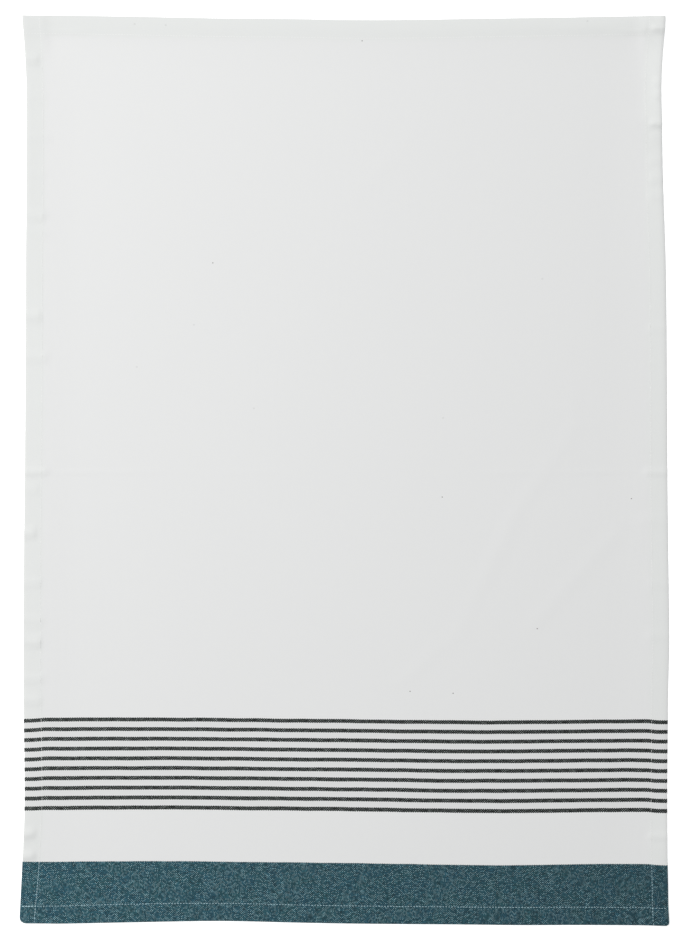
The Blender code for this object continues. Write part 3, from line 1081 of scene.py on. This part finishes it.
def seam_line(edge, on_back):
    """The place on the cut cloth of an edge's seam, as a function of the place along the edge."""
    lengthwise = edge in ("left", "right")
    hem_width, cut_size = (SIDE_HEM, CUT_WIDTH) if lengthwise else (END_HEM, CUT_LENGTH)
    sign = -1 if edge in ("left", "bottom") else 1

    def at(along, aside):
        reach = seam_reach(hem_width, SEAMS[edge].read("inset", along), on_back)
        off_middle = sign * (cut_size / 2 - reach) + aside
        return (off_middle, along) if lengthwise else (along, off_middle)

    return at


print("side seam on the cut cloth:", [round(v / MM, 1) for v in seam_line("left", False)(0.0, 0.0)], "mm")

# %% Sew along a line
NEEDLE_STEP = 0.15 * MM
BACKTACK = 9 * MM            # the first stitches of a seam are sewn twice, and look thicker and closer
BACKTACK_GIRTH, BACKTACK_GAP = 1.8, 0.2
EDGE_STOP = 1.2 * MM         # an end hem's seam stops this far from the sides
Run = namedtuple("Run", "line half gap_share backtack", defaults=(1.0, 0.0))


def sew(shape, run, chance):
    """Adds stitches to a bmesh along a run: a line of the cut cloth, half of it to each side of its
    middle. A gap share below 1 shows more of each stitch, as with a loose thread."""
    holes = [-run.half]
    place = -run.half
    last = mathutils.Vector(lay(*run.line(place, 0.0), CLOTH / 2))
    while place < run.half:
        place += NEEDLE_STEP
        here = mathutils.Vector(lay(*run.line(place, 0.0), CLOTH / 2))
        if (here - last).length >= STITCH_LENGTH:
            holes.append(place)
            last = here
    for first, second in zip(holes, holes[1:]):
        old = len(shape.verts)
        shape.from_mesh(stitch)
        shape.verts.ensure_lookup_table()
        lean = chance.uniform(-0.05, 0.05) * MM
        thread = THREAD * chance.uniform(0.92, 1.06)
        gap = STITCH_GAP / STITCH_LENGTH * run.gap_share * chance.uniform(0.7, 1.3)
        if first + run.half < run.backtack:
            thread, gap = BACKTACK_GIRTH * THREAD, BACKTACK_GAP * STITCH_GAP / STITCH_LENGTH
        for vert in shape.verts[old:]:
            share = gap / 2 + vert.co.x * (1 - gap)
            along = first + (second - first) * share
            aside = vert.co.y * thread + lean * (2 * share - 1)
            vert.co = lay(*run.line(along, aside), CLOTH / 2 + vert.co.z * thread)
    return len(holes) - 1


def stitching(name, runs, seed):
    """All the stitches of one thread as one object. In its map for baking every stitch has a square cell
    of its own."""
    shape = bmesh.new()
    chance = random.Random(seed)
    count = sum(sew(shape, run, chance) for run in runs)
    cells = math.ceil(math.sqrt(count))
    flat_map = shape.loops.layers.uv["OFBake"]
    for number, face in enumerate(shape.faces):
        up, over = divmod(number // len(stitch.polygons), cells)
        for loop in face.loops:
            u, v = loop[flat_map].uv
            loop[flat_map].uv = (over + u) / cells, (up + v) / cells
    bmesh.ops.recalc_face_normals(shape, faces=shape.faces[:])
    made = object_from(shape, name, 60)
    print(name, count, "stitches,", len(made.data.polygons), "faces")
    return made


side_run = CUT_LENGTH / 2 - hem_runs(END_HEM)[0]
end_run = WIDTH / 2 - EDGE_STOP
open_run = LENGTH / 2 - END_HEM
needle = stitching("needle_stitching", [
    Run(seam_line("left", False), side_run, gap_share=0.4),
    Run(seam_line("right", False), side_run),
    Run(seam_line("bottom", False), end_run, backtack=BACKTACK),
    Run(seam_line("top", False), end_run),
], seed=3)
bobbin = stitching("bobbin_stitching", [
    Run(seam_line(edge, True), open_run if edge in ("left", "right") else end_run) for edge in SEAMS
], seed=4)

# %% [markdown]
# ## Sewing thread
#
# The thread is spun cotton, left white. It is smoother than the cloth and a little glossier, with the
# slanting ridges of its three plies. On the band it takes on some teal, as a thin white thread does
# where the cloth under it shines through.

# %% The thread's finish
PLY_TURN = 1.1 * MM          # one full turn of the plies along the thread
LINT_SCALE = 900.0           # per metre, so lint changes over about 1 mm
thread_finish, add, shader = new_material("spun cotton sewing thread")
place = add("ShaderNodeTexCoord").node.outputs["Object"]
ply_wave = {"Vector": place, "Scale": 0.5 / PLY_TURN, "Distortion": 0.6, "Detail": 1.0}
plies = add("ShaderNodeTexWave", ply_wave, wave_type="BANDS", bands_direction="DIAGONAL")
bump = add("ShaderNodeBump", {"Strength": 0.6, "Distance": 0.03 * MM, "Height": plies})
lint = add(NOISE, {"Vector": place, "Scale": LINT_SCALE, "Detail": 2.0})
tone = add(MIX, [lint, srgb_to_linear("#e3e4e2"), srgb_to_linear("#f1f1ee")], data_type="RGBA")
along = add("ShaderNodeSeparateXYZ", [place]).node.outputs["Y"]
on_band = add(MATH, [along, BAND_TOP], operation="LESS_THAN")
tone = add(MIX, [on_band, tone, srgb_to_linear("#bedce6")], data_type="RGBA")
set_inputs(shader, {"Base Color": tone, "Normal": bump, "Roughness": 0.65, "IOR": 1.5})
for piece in (needle, bobbin):
    piece.data.materials.append(thread_finish)
print(len(thread_finish.node_tree.nodes), "nodes in the thread")

# %% [markdown]
# ## Floor, light and camera
#
# The towel is photographed from straight above on a white table, with a long lens, under broad soft
# light from the upper left that fades a little towards the lower right. A large area lamp high over
# that corner gives the fade, and a pale sky fills in the rest. The table gives off a little light of
# its own, as a light table does, so it stays white all round the towel.

# %% Floor
FLOOR_HALF = 12.0            # m, so that its edge stays out of low views
floor_shape = bmesh.new()
bmesh.ops.create_grid(floor_shape, x_segments=1, y_segments=1, size=FLOOR_HALF)
floor = object_from(floor_shape, "floor", 60)
table_top, _, shader = new_material("matte white table")
set_inputs(shader, {
    "Base Color": srgb_to_linear("#f4f4f4"),
    "Roughness": 0.9,
    "Emission Color": (1.0, 1.0, 1.0, 1.0),
    "Emission Strength": 0.6,
})
floor.data.materials.append(table_top)
print("floor", 2 * FLOOR_HALF, "m wide")

# %% Lamp and sky
LAMP_PLACE = mathutils.Vector((-1.45, 0.88, 2.55))
lamp = bpy.data.lights.new("soft_box", "AREA")
lamp.shape = "SQUARE"
lamp.size = 1.2
lamp.energy = 65.4
lamp_object = add_object("soft_box", lamp)
lamp_object.location = LAMP_PLACE
lamp_object.rotation_euler = (-LAMP_PLACE).to_track_quat("-Z", "Y").to_euler()

sky = bpy.data.worlds.new("studio")
sky.use_nodes = True
set_inputs(sky.node_tree.nodes["Background"], {"Color": srgb_to_linear("#fbfdff"), "Strength": 0.47})
bpy.context.scene.world = sky
bpy.context.scene.view_settings.view_transform = "Standard"
bpy.context.scene.cycles.denoising_prefilter = "NONE"    # a prefilter would smear threads a pixel wide
print(f"lamp {LAMP_PLACE.length:.2f} m from the towel")

# %% Camera
VIEW_HEIGHT = 726.95 * MM     # the length of table from the top to the bottom of the picture
VIEW_CENTRE = (4.2 * MM, -1.3 * MM)
LENS = 135.0
camera_data = bpy.data.cameras.new("camera")
camera_data.lens = LENS
distance = VIEW_HEIGHT * LENS / camera_data.sensor_width
camera = add_object("camera", camera_data)
camera.location = (*VIEW_CENTRE, distance)
bpy.context.scene.camera = camera
print(f"camera {distance:.2f} m above the table")

# %% [markdown]
# ## Join the frame
#
# Every piece rides on the towel's one body. The cloth stands for the plain sheet.

# %% Ride and replace
for piece in (cloth, needle, bobbin):
    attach(piece, "root")
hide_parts("towel")
floor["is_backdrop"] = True

low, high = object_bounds()
print("dressed towel:", [round((b - a) * 1000, 1) for a, b in zip(low, high)], "mm")
